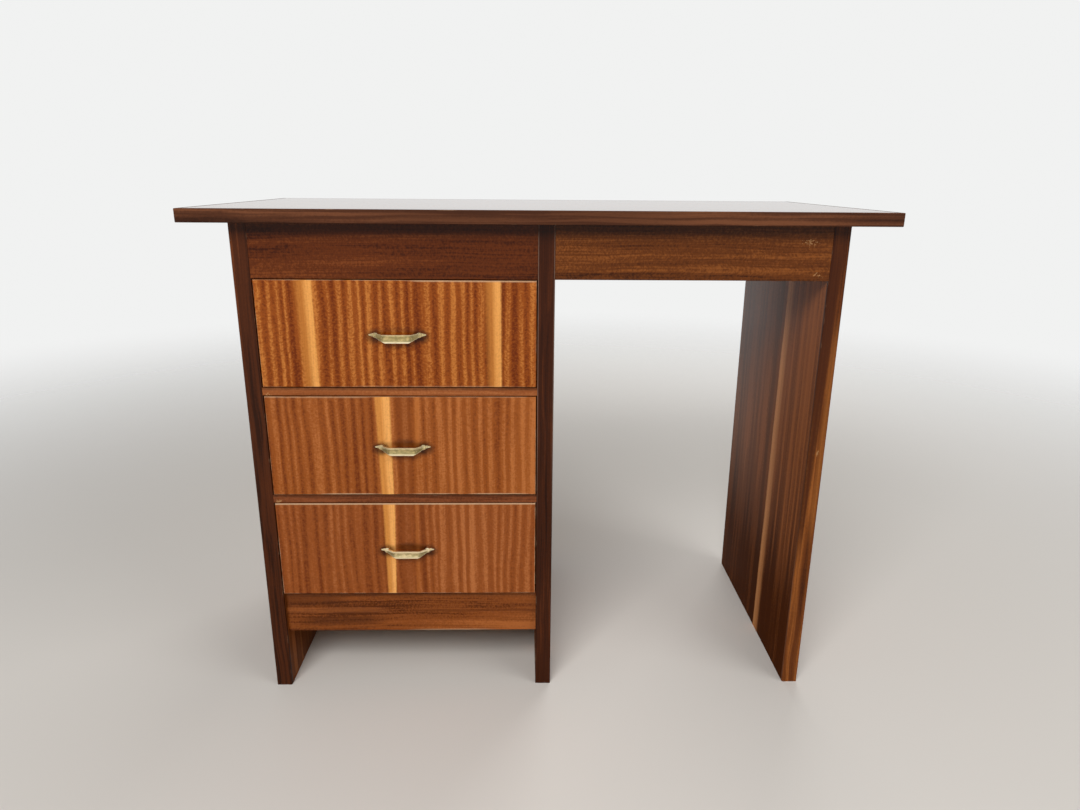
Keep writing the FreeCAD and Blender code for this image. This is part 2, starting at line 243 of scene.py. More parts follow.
def make_wood_figure():
    """Tones of a board along the Z axis: ribbons, flecks, fibres, drift, growth rings and pores."""
    sway_reach = (0.011, 0.011, 0.0)
    ribbon_wander = 2.6
    even_swing = 0.16
    fleck_lean = 0.012
    fibre_cells = (430.0, 430.0, 6.0)
    fleck_cells = (250.0, 250.0, 340.0)
    drift_cells = (16.0, 16.0, 1.7)
    ring_cells = (8.0, 8.0, 0.9)
    ring_count = 24.0
    pore_cells = (2300.0, 2300.0, 120.0)

    black = colour(0, 0, 0)
    shares = {"Pitch": 0.014, "Order": 0.5, "Ribbon": 0.5, "Fibre": 0.3, "Fleck": 0.3, "Drift": 0.3,
              "Ring": 0.0, "Lift": 0.0, "Pore": 0.3}
    inputs = {"Vector": (0.0, 0.0, 0.0), **shares, "Dark": black, "Middle": black, "Light": black}
    graph = new_group("wood_figure", inputs, {"Color": 4, "Height": 1, "Fibre": 1, "Fleck": 1})
    given = graph.given

    sway = graph.vector("SUBTRACT", graph.add("ShaderNodeTexNoise", {0: given["Vector"], 2: 5.0}).outputs[1],
                        (0.5, 0.5, 0.5))
    sway = graph.vector("MULTIPLY", sway, sway_reach)
    board = graph.vector("ADD", given["Vector"], sway)

    def across_grain(cells_per_pitch, along):
        cells = graph.maths("DIVIDE", cells_per_pitch, given["Pitch"])
        return graph.add("ShaderNodeCombineXYZ", {0: cells, 1: cells, 2: along}).outputs[0]

    loose = graph.noise(board, across_grain(1.7, 1.8), 1.5, 0.45)
    x, y = graph.axes(board)[:2]
    turns = graph.maths("DIVIDE", graph.maths("ADD", x, y), given["Pitch"])
    drawn = graph.noise(board, across_grain(0.3, 1.2), 2.0)
    turns = graph.maths("ADD", turns, graph.maths("MULTIPLY", drawn, ribbon_wander))
    even = graph.maths("SINE", graph.maths("MULTIPLY", turns, 2 * math.pi))
    even = graph.maths("ADD", graph.maths("MULTIPLY", even, even_swing), 0.5)
    wave = graph.maths("MULTIPLY", graph.maths("SUBTRACT", even, loose), given["Order"])
    wave = graph.maths("ADD", loose, wave)
    lean = graph.add("ShaderNodeCombineXYZ", {2: graph.maths("MULTIPLY", wave, fleck_lean)}).outputs[0]
    leaning = graph.vector("ADD", board, lean)
    rings = graph.maths("MULTIPLY", graph.noise(board, ring_cells, 1.5, 0.4), ring_count)
    parts = {
        "Ribbon": graph.spread(wave, 0.34, 0.66),
        "Fibre": graph.spread(graph.noise(board, fibre_cells, 3.0, 0.6), 0.3, 0.7),
        "Fleck": graph.spread(graph.noise(leaning, fleck_cells, 3.0, 0.62), 0.32, 0.68),
        "Drift": graph.spread(graph.noise(board, drift_cells, 2.0), 0.3, 0.7),
        "Ring": graph.spread(graph.maths("FRACT", rings), 0.15, 1.0),
    }
    pores = graph.spread(graph.noise(board, pore_cells, 1.0), 0.60, 0.72)

    tone = graph.maths("ADD", 0.5, given["Lift"])
    for name, value in parts.items():
        swing = graph.maths("SUBTRACT", value, 0.5)
        tone = graph.maths("ADD", tone, graph.maths("MULTIPLY", swing, given[name]))
    shade = graph.mix(graph.spread(tone, 0.0, 0.5), given["Dark"], given["Middle"])
    shade = graph.mix(graph.spread(tone, 0.5, 1.0), shade, given["Light"])
    shade = graph.mix(graph.maths("MULTIPLY", pores, given["Pore"]), shade, given["Dark"], "MULTIPLY")
    give(graph, "Color", shade)
    give(graph, "Height", graph.maths("SUBTRACT", graph.maths("MULTIPLY", parts["Fibre"], 0.2), pores))
    give(graph, "Fibre", parts["Fibre"])
    give(graph, "Fleck", parts["Fleck"])


def make_streak():
    """A band along the grain: where it is, and where its right half is. It leans, tapers, sways and ends."""
    ragged_cells = (330.0, 330.0, 190.0)
    ragged_share = 0.3
    wander_cells = (9.0, 9.0, 9.0)

    inputs = {"Vector": (0.0, 0.0, 0.0), "Across": 0.0, "Along": 0.0, "Centre": 0.0, "Half": 0.01,
              "Lean": 0.0, "Taper": 0.0, "Soft": 0.55, "Sway": 0.0, "Start": -2.0, "End": 2.0, "Fade": 0.05}
    graph = new_group("streak", inputs, {"Band": 1, "Core": 1})
    given = graph.given
    ragged = graph.maths("SUBTRACT", graph.noise(given["Vector"], ragged_cells, 3.0, 0.65), 0.5)
    along = given["Along"]
    wander = graph.add("ShaderNodeCombineXYZ", {0: along, 1: given["Centre"]}).outputs[0]
    wander = graph.maths("SUBTRACT", graph.noise(wander, wander_cells, 2.0), 0.5)
    centre = graph.maths("ADD", given["Centre"], graph.maths("MULTIPLY", along, given["Lean"]))
    centre = graph.maths("ADD", centre, graph.maths("MULTIPLY", wander, given["Sway"]))
    half = graph.maths("ADD", given["Half"], graph.maths("MULTIPLY", along, given["Taper"]))
    side = graph.maths("DIVIDE", graph.maths("SUBTRACT", given["Across"], centre), half)
    side = graph.maths("ADD", side, graph.maths("MULTIPLY", ragged, ragged_share))
    soft_from = graph.maths("SUBTRACT", -1.0, given["Soft"])
    soft_to = graph.maths("ADD", -1.0, given["Soft"])
    band = graph.spread(side, soft_from, soft_to)
    band = graph.maths("MULTIPLY", band, graph.spread(side, 1.18, 0.78))
    before = graph.maths("SUBTRACT", given["Start"], given["Fade"])
    beyond = graph.maths("ADD", given["End"], given["Fade"])
    band = graph.maths("MULTIPLY", band, graph.spread(along, before, given["Start"]))
    band = graph.maths("MULTIPLY", band, graph.spread(along, beyond, given["End"]))
    give(graph, "Band", band)
    give(graph, "Core", graph.maths("MULTIPLY", graph.spread(side, -0.5, 0.45), band))


def make_arris_wear_and_highlight():
    """Where a piece's square edges are rubbed, and on lacquer take a painted highlight, in patches, with more
    on its upper or lower ones.
    """
    patch_cells = (30.0, 30.0, 30.0)
    patch_softness = 0.12

    inputs = {"Vector": (0.0, 0.0, 0.0), "Width": 0.001, "Bare": 0.5, "Upper": 0.0, "Lower": 0.0}
    graph = new_group("arris_wear_and_highlight", inputs, {"Wear_and_highlight": 1})
    given = graph.given
    eased = graph.add("ShaderNodeBevel", {"Radius": given["Width"]}, samples=6).outputs[0]
    facing = graph.axes(graph.add("ShaderNodeVectorMath", {0: eased}, operation="ABSOLUTE").outputs[0])
    squarest = graph.maths("MAXIMUM", graph.maths("MAXIMUM", facing[0], facing[1]), facing[2])
    edge = graph.spread(squarest, 0.985, 0.88)
    patches = graph.noise(given["Vector"], patch_cells, 3.0, 0.65)
    rise = graph.axes(eased)[2]
    upper = graph.maths("MULTIPLY", graph.spread(rise, 0.15, 0.5), given["Upper"])
    lower = graph.maths("MULTIPLY", graph.spread(rise, -0.15, -0.5), given["Lower"])
    bare = graph.maths("ADD", given["Bare"], graph.maths("ADD", upper, lower))
    limit = graph.maths("SUBTRACT", 1.0, bare)
    rubbed_from = graph.maths("SUBTRACT", limit, patch_softness)
    rubbed_to = graph.maths("ADD", limit, patch_softness)
    give(graph, "Wear_and_highlight", graph.maths("MULTIPLY", edge, graph.spread(patches, rubbed_from, rubbed_to)))


def new_mark_group(name, output):
    """A group for marks around a place, and how far a point lies from it, as a share of their reach."""
    inputs = {"Vector": (0.0, 0.0, 0.0), "Place": (0.0, 0.0, 0.0), "Reach": (0.01, 0.01, 0.01), "Amount": 0.5}
    graph = new_group(name, inputs, {output: 1})
    apart = graph.vector("SUBTRACT", graph.given["Vector"], graph.given["Place"])
    apart = graph.vector("DIVIDE", apart, graph.given["Reach"])
    return graph, graph.add("ShaderNodeVectorMath", {0: apart}, operation="LENGTH").outputs[1]


def make_scuffs():
    """A cluster of small chips and scratches around a place."""
    chip_cells = (420.0, 420.0, 420.0)
    limit_far_off = 0.86
    chip_softness = 0.06

    graph, apart = new_mark_group("scuffs", "Scuff")
    chips = graph.noise(graph.given["Vector"], chip_cells, 3.0, 0.6)
    near = graph.maths("MULTIPLY", graph.spread(apart, 1.0, 0.1), graph.given["Amount"])
    limit = graph.maths("SUBTRACT", limit_far_off, near)
    give(graph, "Scuff", graph.spread(chips, limit, graph.maths("ADD", limit, chip_softness)))


def make_dirt_and_shade():
    """A soft dark patch around a place: painted shade, with dirt where a pull is handled."""
    cloud_cells = (130.0, 130.0, 130.0)

    graph, apart = new_mark_group("dirt_and_shade", "Dirt_and_shade")
    cloud = graph.noise(graph.given["Vector"], cloud_cells, 3.0, 0.6)
    cloud = graph.spread(cloud, 0.3, 0.7, 0.7, 1.0)
    patch = graph.maths("MULTIPLY", graph.spread(apart, 1.0, 0.35), cloud)
    give(graph, "Dirt_and_shade", graph.maths("MULTIPLY", patch, graph.given["Amount"]))


def make_lacquer_film():
    """An old lacquer: smudges that dull it here and there, and a faint ripple."""
    smudge_cells = (14.0, 14.0, 14.0)
    ripple_cells = (260.0, 260.0, 260.0)

    inputs = {"Vector": (0.0, 0.0, 0.0), "Dullness": 0.3, "Smudge": 0.12}
    graph = new_group("lacquer_film", inputs, {"Roughness": 1, "Height": 1})
    given = graph.given
    smudges = graph.maths("SUBTRACT", graph.noise(given["Vector"], smudge_cells, 4.0, 0.6), 0.5)
    smudges = graph.maths("MULTIPLY", smudges, given["Smudge"])
    give(graph, "Roughness", graph.maths("ADD", given["Dullness"], smudges, clamp=True))
    give(graph, "Height", graph.noise(given["Vector"], ripple_cells, 1.0))


for make_effect in (make_wood_figure, make_streak, make_arris_wear_and_highlight, make_scuffs, make_dirt_and_shade,
                    make_lacquer_film):
    make_effect()


# Materials


def new_material(name):
    """An empty material with a shader, joined to its output."""
    material = bpy.data.materials.new(name)
    material.use_nodes = True
    material.node_tree.nodes.clear()
    graph = Graph(material.node_tree)
    shader = graph.add("ShaderNodeBsdfPrincipled")
    graph.add("ShaderNodeOutputMaterial", {"Surface": shader.outputs[0]})
    return material, graph, shader


def set_sockets(graph, shader, sockets):
    """Sets or joins sockets of a shader."""
    for socket, value in sockets.items():
        if isinstance(value, bpy.types.NodeSocket):
            graph.tree.links.new(value, shader.inputs[socket])
        else:
            shader.inputs[socket].default_value = value


def bump(graph, height, depth):
    return graph.add("ShaderNodeBump", {"Strength": 1.0, "Distance": depth, "Height": height}).outputs[0]


def lacquered_wood(name, tones, grain, offset, figure, streaks=(), scuffs=(), dirt_and_shade=(),
                   edge_wear_and_highlight=(0.0011, 0.32, 0.0, 0.0, 0.3), coat=0.25, fade=None, core=None):
    """Lacquered mahogany: its figure, any streaks, painted shade with some dirt, edges rubbed pale and
    painted with a highlight, scuffs, and an old glossy film.

    A veneered front has a core, which shows on every face but the front one. A fade that starts from two
    values has one for the face on the left and one for the face on the right, which carry different painted
    shade.
    A coat is one weight, or two ramps along different axes.
    """
    material, graph, shader = new_material(name)
    board = graph.place(grain, offset)
    here = graph.place()
    axes = dict(zip("xyz", graph.axes(here)))
    facing = graph.axes(graph.add("ShaderNodeNewGeometry").outputs["Normal"])
    sockets = {"Vector": board, "Dark": tones[0], "Middle": tones[1], "Light": tones[2], **figure}
    if fade:
        axis, start, end, first, last = fade
        if isinstance(first, tuple):
            first = graph.spread(facing[0], -0.5, 0.5, *first)
        sockets["Lift"] = graph.spread(axes[axis], start, end, first, last)
    wood = graph.group("wood_figure", sockets)
    shade = wood["Color"]
    for band in streaks:
        along = graph.maths("SUBTRACT", axes[band["along"]], band["middle"])
        mask = graph.group("streak", {"Vector": board, "Across": axes[band["across"]], "Along": along,
                                      **band["shape"]})
        tone = graph.mix(mask["Core"], band["tone"], band["core"])
        tone = graph.mix(graph.spread(wood["Fibre"], 0.1, 0.8, streak_fibre, 0.0), tone, shade)
        tone = graph.mix(graph.spread(wood["Fleck"], 0.1, 0.6, streak_fleck, 0.0), tone, shade)
        shade = graph.mix(graph.maths("MULTIPLY", mask["Band"], band["share"]), shade, tone)
    # Soft dark patches of painted shade in corners and round the pulls, with dirt above the grips
    for patch in dirt_and_shade:
        shade = graph.mix(graph.group("dirt_and_shade", {"Vector": here, **patch})["Dirt_and_shade"], shade, dirt_and_shade_colour)
    if core:
        solid = graph.group("wood_figure", {"Vector": graph.place(along_width, offset), **core})["Color"]
        shade = graph.mix(graph.spread(facing[1], -0.8, -0.6), shade, solid)
    # Pale edges: partly lacquer rubbed through, partly a painted highlight
    width, bare, upper, lower, strength = edge_wear_and_highlight
    edges = {"Width": width, "Bare": bare, "Upper": upper, "Lower": lower}
    worn_and_highlit = graph.group("arris_wear_and_highlight", {"Vector": here, **edges})["Wear_and_highlight"]
    worn_and_highlit = graph.maths("MULTIPLY", worn_and_highlit, strength)
    shade = graph.mix(worn_and_highlit, shade, worn_and_highlit_colour)
    for scuff in scuffs:
        chipped = graph.group("scuffs", {"Vector": here, **scuff})["Scuff"]
        chipped = graph.maths("MULTIPLY", chipped, chip_strength)
        shade = graph.mix(chipped, shade, chip_colour)
        worn_and_highlit = graph.maths("MAXIMUM", worn_and_highlit, chipped)
    if isinstance(coat, tuple):
        ramps = [graph.spread(axes[axis], *ends) for axis, *ends in coat]
        coat = graph.maths("MULTIPLY", *ramps)
    film = graph.group("lacquer_film", {"Vector": here, "Dullness": film_dullness, "Smudge": film_smudge})
    height = graph.maths("ADD", graph.maths("MULTIPLY", wood["Height"], 0.5), film["Height"])
    set_sockets(graph, shader, {
        "Base Color": shade,
        "Roughness": graph.maths("ADD", film["Roughness"], graph.maths("MULTIPLY", worn_and_highlit, worn_roughness)),
        "Specular IOR Level": 0.0,
        "Coat Weight": coat,
        "Coat Roughness": gloss_roughness,
        "Normal": bump(graph, height, grain_depth),
    })
    return material


def streak(across, along, middle, centre, half, tone, core=None, share=1.0, **shape):
    """A band along one axis: its place across it at a middle point, its half width, and one or two tones."""
    shape = {"Centre": centre, "Half": half, **shape}
    return {"across": across, "along": along, "middle": middle, "shape": shape, "share": share,
            "tone": colour(*tone), "core": colour(*(core or tone))}


def spot(place, reach, amount):
    """A place on the desk, how far a mark spreads from it along each axis, and how strong the mark is."""
    return {"Place": place, "Reach": reach, "Amount": amount}


def corner_shade(node, side, reach, amount):
    """Painted shade along the upper or lower edge of a rail's face."""
    low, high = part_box(node)
    edge = high.z if side == "upper" else low.z
    middle = ((low.x + high.x) / 2, low.y, edge)
    return spot(middle, (corner_shade_length, corner_shade_depth, reach), amount)


def tones(dark, middle, light):
    """The three tones that a figure runs through."""
    return colour(*dark), colour(*middle), colour(*light)


def height_of(node):
    low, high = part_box(node)
    return (low.z + high.z) / 2


def drawer_veneers():
    """The three drawer fronts, cut from different leaves of ribbon-striped veneer."""
    sapwood = {"tone": (0.47, 0.165, 0.028), "core": (0.78, 0.345, 0.085)}
    bright_sapwood = {"tone": (0.62, 0.245, 0.050), "core": (0.86, 0.40, 0.11)}
    orange = {"tone": (0.44, 0.135, 0.026), "core": (0.46, 0.145, 0.03), "share": 0.7}
    dark = {"tone": (0.14, 0.026, 0.003), "share": 0.35}
    faint_orange = {**orange, "share": 0.35}
    glow = {**orange, "share": 0.16}
    leaves = {
        "upper": {
            "tones": tones((0.135, 0.021, 0.0008), (0.268, 0.061, 0.0062), (0.50, 0.168, 0.031)),
            "figure": {"Pitch": 0.0165, "Order": 0.75, "Ribbon": 0.58, "Fibre": 0.16,
                       "Fleck": 0.37, "Drift": 0.25},
            "edge_wear_and_highlight": (0.0018, 0.47, 0.10, 0.06, 0.6),
            "grip_dirt_and_shade": 0.3,
            "fade": ("x", -0.09, -0.03, 0.02, -0.10),
            "offset": (3.1, 0.4, 1.7),
        },
        "middle": {
            "tones": tones((0.14, 0.025, 0.0022), (0.28, 0.071, 0.0105), (0.45, 0.145, 0.036)),
            "figure": {"Pitch": 0.0160, "Order": 0.7, "Ribbon": 0.50, "Fibre": 0.15,
                       "Fleck": 0.25, "Drift": 0.2},
            "edge_wear_and_highlight": (0.0018, 0.46, 0.14, 0.14, 0.6),
            "grip_dirt_and_shade": 0.6,
            "fade": ("x", -0.30, -0.10, -0.03, 0.12),
            "offset": (7.3, 1.9, 0.2),
        },
        "lower": {
            "tones": tones((0.14, 0.027, 0.0035), (0.268, 0.068, 0.0125), (0.44, 0.145, 0.042)),
            "figure": {"Pitch": 0.0150, "Order": 0.7, "Ribbon": 0.44, "Fibre": 0.15,
                       "Fleck": 0.23, "Drift": 0.2},
            "edge_wear_and_highlight": (0.0024, 0.46, 0.40, 0.0, 0.8),
            "grip_dirt_and_shade": 0.66,
            "fade": ("x", -0.28, -0.08, -0.04, 0.15),
            "offset": (1.2, 5.6, 2.4),
        },
    }
    core = {"Pitch": 0.016, "Order": 0.0, "Ribbon": 0.3, "Fibre": 0.4, "Fleck": 0.12, "Drift": 0.5,
            "Dark": colour(0.10, 0.024, 0.004), "Middle": colour(0.21, 0.057, 0.011),
            "Light": colour(0.33, 0.105, 0.026)}
    stripes = {
        "upper": [(-0.3410, 0.0110, sapwood, {"Lean": -0.012, "Taper": 0.012}),
                  (-0.0690, 0.0105, sapwood, {"Lean": -0.010, "Taper": 0.010})],
        "middle": [(-0.2380, 0.0105, bright_sapwood, {"Lean": -0.006, "Taper": 0.012, "Soft": 0.2}),
                   (-0.2080, 0.0110, dark, {}),
                   (-0.0230, 0.0170, glow, {"Soft": 0.8}),
                   (-0.1885, 0.0035, orange, {"Lean": 0.02, "Start": 0.015, "Fade": 0.07})],
        "lower": [(-0.2378, 0.0080, bright_sapwood, {"Lean": 0.012, "Taper": 0.018, "Soft": 0.2}),
                  (-0.2120, 0.0080, dark, {}),
                  (-0.1950, 0.0030, faint_orange, {"Lean": 0.02}),
                  (-0.1860, 0.0040, dark, {})],
    }
    # Pale lines along the drawers' top and bottom edges: wear together with a painted highlight
    rubbed_and_highlit = (0.52, 0.33, 0.19)
    rubbed_and_highlit_lines = {
        "upper": [("top", -0.17, -0.02, 0.75), ("bottom", -0.26, -0.06, 0.22)],
        "middle": [("top", -0.40, -0.28, 0.4), ("bottom", -0.32, -0.27, 0.75), ("bottom", -0.18, -0.15, 0.6),
                   ("bottom", -0.09, -0.04, 0.75)],
        "lower": [("top", -0.42, 0.0, 0.95)],
    }
    made = {}
    for tier, leaf in leaves.items():
        middle = height_of(f"{tier}_drawer_front")
        low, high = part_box(f"{tier}_drawer_pull")
        front_low, front_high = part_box(f"{tier}_drawer_front")
        face = front_low.y
        # Painted shade with dirt above each grip, and painted shadow round each foot of the pull
        grip = ((low.x + high.x) / 2 + grip_dirt_and_shade_shift, face, high.z - grip_dirt_and_shade_drop)
        dirt_and_shade = [spot(grip, grip_dirt_and_shade_reach, leaf.pop("grip_dirt_and_shade"))]
        for foot in (low.x + foot_shadow_inset, high.x - foot_shadow_inset):
            dirt_and_shade.append(spot((foot, face, high.z - foot_shadow_drop), foot_shadow_reach, foot_shadow_amount))
        bands = [streak("x", "z", middle, centre, half, **looks, **shape)
                 for centre, half, looks, shape in stripes[tier]]
        rises = {"top": front_high.z - worn_highlight_inset, "bottom": front_low.z + worn_highlight_inset}
        for edge, start, end, share in rubbed_and_highlit_lines[tier]:
            bands.append(streak("z", "x", 0.0, rises[edge], worn_highlight_half, rubbed_and_highlit, share=share,
                                Start=start, End=end, Fade=worn_highlight_fade))
        made[f"{tier}_drawer_front"] = lacquered_wood(
            f"{tier}_drawer_veneer", grain=upright, dirt_and_shade=dirt_and_shade, core=core, streaks=bands, **leaf)
    return made


def rail_woods():
    """The rails of the carcass, each sawn from a board of its own."""
    figure = {"Pitch": 0.019, "Order": 0.1, "Ribbon": 0.32, "Fibre": 0.36, "Fleck": 0.13, "Drift": 0.55}
    low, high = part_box("plinth_rail")
    dark = {"tone": (0.055, 0.014, 0.0035), "core": (0.05, 0.012, 0.003)}
    pale = {"tone": (0.30, 0.088, 0.021), "core": (0.31, 0.092, 0.022)}
    rubbed_and_highlit = (0.50, 0.33, 0.20)
    # The rails are darkened along their upper edges as painted shade, under the desktop and under the drawers
    # above them
    top_rail = lacquered_wood(
        "top_rail_mahogany", tones((0.040, 0.0066, 0.0006), (0.102, 0.0212, 0.0028), (0.18, 0.0445, 0.008)),
        along_width, (0.3, 2.2, 0.7), {**figure, "Fleck": 0.36, "Drift": 0.4},
        fade=("x", -0.40, -0.10, 0.05, -0.06),
        dirt_and_shade=[corner_shade("pedestal_top_rail", "upper", 0.024, 0.6)])
    apron = lacquered_wood(
        "apron_mahogany", tones((0.042, 0.009, 0.0008), (0.117, 0.030, 0.0040), (0.23, 0.068, 0.012)),
        along_width, (2.3, 5.2, 1.7), {**figure, "Fleck": 0.34}, fade=("x", 0.02, 0.38, -0.08, 0.08),
        dirt_and_shade=[corner_shade("kneehole_front_rail", "upper", 0.022, 0.55)],
        scuffs=[spot((0.385, front_face, 0.737), (0.03, 0.02, 0.016), 0.36),
                spot((0.400, front_face, 0.690), (0.02, 0.02, 0.012), 0.34)])
    plinth = lacquered_wood(
        "plinth_mahogany", tones((0.080, 0.018, 0.003), (0.23, 0.060, 0.0105), (0.37, 0.11, 0.025)),
        along_width, (4.3, 1.2, 0.1), {**figure, "Fleck": 0.26}, fade=("x", -0.40, -0.12, -0.12, 0.18),
        dirt_and_shade=[corner_shade("plinth_rail", "upper", 0.014, 0.6)],
        streaks=[
            streak("z", "x", -0.34, low.z + 0.0385, 0.0050, **pale, share=0.6,
                   Sway=0.006, Start=-0.09, End=0.06),
            streak("z", "x", -0.33, low.z + 0.0185, 0.0080, **dark, share=0.55,
                   Sway=0.008, Start=-0.035, End=0.04),
            streak("z", "x", -0.38, high.z - 0.0180, 0.0100, **dark, share=0.5,
                   Sway=0.006, Start=-0.06, End=0.03),
            streak("z", "x", -0.10, high.z - 0.0370, 0.0022, **dark, share=0.4,
                   Sway=0.010, Start=-0.08, End=0.10),
            streak("z", "x", -0.15, low.z + worn_highlight_inset, worn_highlight_half, rubbed_and_highlit, share=0.6,
                   Start=-0.03, End=0.04),
        ])
    divider_figure = {"Pitch": 0.012, "Order": 0.0, "Ribbon": 0.25, "Fibre": 0.4, "Fleck": 0.25, "Drift": 0.4}
    upper = lacquered_wood(
        "upper_divider_mahogany", tones((0.14, 0.033, 0.006), (0.265, 0.074, 0.018), (0.38, 0.125, 0.038)),
        along_width, (2.6, 3.3, 0.9), divider_figure,
        dirt_and_shade=[corner_shade("upper_divider_rail", "upper", 0.005, 0.65)],
        scuffs=[spot((-0.408, front_face, 0.508), (0.014, 0.02, 0.010), 0.40)])
    lower = lacquered_wood(
        "lower_divider_mahogany", tones((0.11, 0.027, 0.007), (0.22, 0.061, 0.0185), (0.33, 0.105, 0.036)),
        along_width, (1.6, 7.3, 0.4), divider_figure,
        dirt_and_shade=[corner_shade("lower_divider_rail", "upper", 0.005, 0.65)],
        scuffs=[spot((-0.408, front_face, 0.336), (0.014, 0.02, 0.008), 0.42)])
    return {
        "pedestal_top_rail": top_rail,
        "kneehole_front_rail": apron,
        "kneehole_rear_rail": apron,
        "plinth_rail": plinth,
        "upper_divider_rail": upper,
        "lower_divider_rail": lower,
    }


def lipping_woods():
    """The solid strips on the front edges of the panels and round the desktop."""
    figure = {"Pitch": 0.011, "Order": 0.0, "Ribbon": 0.4, "Fibre": 0.35, "Fleck": 0.08, "Drift": 0.55}
    low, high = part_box("middle_lipping")
    rubbed_and_highlit = (0.36, 0.23, 0.17)
    arris_inset = 0.0009
    arris_half = 0.0007
    left = lacquered_wood(
        "left_lipping", tones((0.026, 0.006, 0.0012), (0.066, 0.0155, 0.0034), (0.14, 0.036, 0.009)),
        upright, (5.2, 0.9, 3.1), figure, fade=("z", 0.30, 0.60, -0.05, 0.05))
    # The middle lipping's two edges carry pale lines, rubbed and painted as a highlight
    middle = lacquered_wood(
        "middle_lipping", tones((0.018, 0.0035, 0.0006), (0.040, 0.0085, 0.0015), (0.09, 0.021, 0.0045)),
        upright, (2.9, 3.9, 1.1), figure, fade=("z", 0.35, 0.60, 0.0, -0.14),
        streaks=[streak("x", "z", 0.60, edge, arris_half, rubbed_and_highlit, share=0.35, Start=-0.15, End=0.15, Fade=0.2)
                 for edge in (low.x + arris_inset, high.x - arris_inset)])
    inner = (0.048, 0.0100, 0.0017)
    outer = {"tone": (0.34, 0.115, 0.022), "core": (0.38, 0.130, 0.026)}
    right = lacquered_wood(
        "right_lipping", tones((0.040, 0.008, 0.001), (0.130, 0.033, 0.0050), (0.28, 0.086, 0.016)),
        upright, (1.7, 6.6, 0.4), figure, fade=("z", 0.53, 0.68, 0.08, -0.16),
        streaks=[streak("x", "z", 0.47, 0.4360, 0.0045, **outer, share=0.45,
                        Lean=0.010, Sway=0.004, Start=-0.15, End=0.10, Fade=0.08),
                 streak("x", "z", 0.55, 0.4202, 0.0100, inner, share=0.85,
                        Lean=0.026, Sway=0.004, Start=-0.25, End=0.15, Fade=0.10)],
        scuffs=[spot((0.430, front_face, 0.415), (0.006, 0.01, 0.014), 0.40)])
    edge_figure = {"Pitch": 0.012, "Order": 0.0, "Ribbon": 0.5, "Fibre": 0.35, "Fleck": 0.1, "Drift": 0.7}
    slab_tones = tones((0.026, 0.0068, 0.0019), (0.074, 0.0225, 0.0082), (0.155, 0.053, 0.021))
    slab_dark = (0.030, 0.008, 0.0025)
    slab = lacquered_wood(
        "slab_lipping", slab_tones, along_width, (6.1, 4.2, 0.5), edge_figure,
        streaks=[streak("z", "x", 0.0, height_of("desktop_panel"), 0.014, slab_dark, share=0.45,
                        Start=-0.16, End=0.10, Fade=0.16)])
    slab_end = lacquered_wood("slab_end_lipping", slab_tones, along_depth, (6.1, 4.2, 0.5), edge_figure)
    return {
        "left_side_lipping": left,
        "middle_lipping": middle,
        "right_side_lipping": right,
        "desktop_front_lipping": slab,
        "desktop_rear_lipping": slab,
        "desktop_left_lipping": slab_end,
        "desktop_right_lipping": slab_end,
    }


def panel_veneers():
    """The veneered faces of the desktop and of the three upright panels."""
    panel_tones = tones((0.068, 0.0170, 0.0034), (0.155, 0.044, 0.0100), (0.28, 0.086, 0.023))
    figure = {"Pitch": 0.022, "Order": 0.3, "Ribbon": 0.3, "Fibre": 0.24, "Fleck": 0.16, "Drift": 0.35}
    middle = height_of("right_side_panel")
    pale = {"tone": (0.49, 0.200, 0.070), "core": (0.63, 0.280, 0.107), "share": 0.94}
    brown = {"tone": (0.33, 0.10, 0.024), "core": (0.35, 0.11, 0.027), "share": 0.55}
    dark = {"tone": (0.055, 0.015, 0.003), "share": 0.5}
    leaning_pale = {**pale, "Lean": -0.012}
    upper_brown = {**brown, "share": 0.75, "Start": -0.10, "Fade": 0.16}
    # Near the floor a panel has its own gloss, and its own painted shade on its left face and on its right
    # one
    panels = {
        "left_side_panel": {
            "offset": (4.6, 7.7, 2.1),
            "low_gloss": 1.0,
            "floor_shade_lift": (0.0, -0.02),
            "bands": [(0.088, 0.0085, pale), (0.121, 0.0080, dark), (-0.150, 0.0040, brown),
                      (-0.186, 0.0090, brown)],
        },
        "middle_panel": {
            "offset": (6.9, 5.1, 0.6),
            "low_gloss": 0.5,
            "floor_shade_lift": (-0.15, -0.15),
            "bands": [(-0.118, 0.0070, pale), (0.062, 0.0100, dark), (0.135, 0.0045, brown)],
        },
        "right_side_panel": {
            "offset": (8.4, 2.7, 1.3),
            "low_gloss": 0.18,
            "floor_shade_lift": (-0.52, 0.0),
            "bands": [(-0.059, 0.0125, leaning_pale), (-0.024, 0.0100, dark), (-0.194, 0.0030, upper_brown),
                      (-0.177, 0.0040, upper_brown), (-0.160, 0.0030, upper_brown),
                      (-0.139, 0.0045, upper_brown), (-0.105, 0.0035, upper_brown)],
        },
    }
    made = {}
    for name, panel in panels.items():
        made[name] = lacquered_wood(
            f"{name}_veneer", panel_tones, upright, panel["offset"], figure,
            coat=(("z", 0.10, 0.36, panel["low_gloss"], 1.0), ("y", -0.20, 0.20, 0.16, 0.46)),
            # The tone darkens towards the floor as painted shade and is lifted higher up as a painted
            # reflection
            fade=("z", 0.06, 0.40, panel["floor_shade_lift"], 0.26),
            streaks=[streak("y", "z", middle, place, half, Sway=0.006, **looks)
                     for place, half, looks in panel["bands"]])
    made["desktop_panel"] = lacquered_wood(
        "desktop_veneer", tones((0.055, 0.013, 0.003), (0.135, 0.039, 0.011), (0.25, 0.080, 0.025)),
        along_width, (9.9, 0.3, 2.2), figure, coat=1.0)
    return made


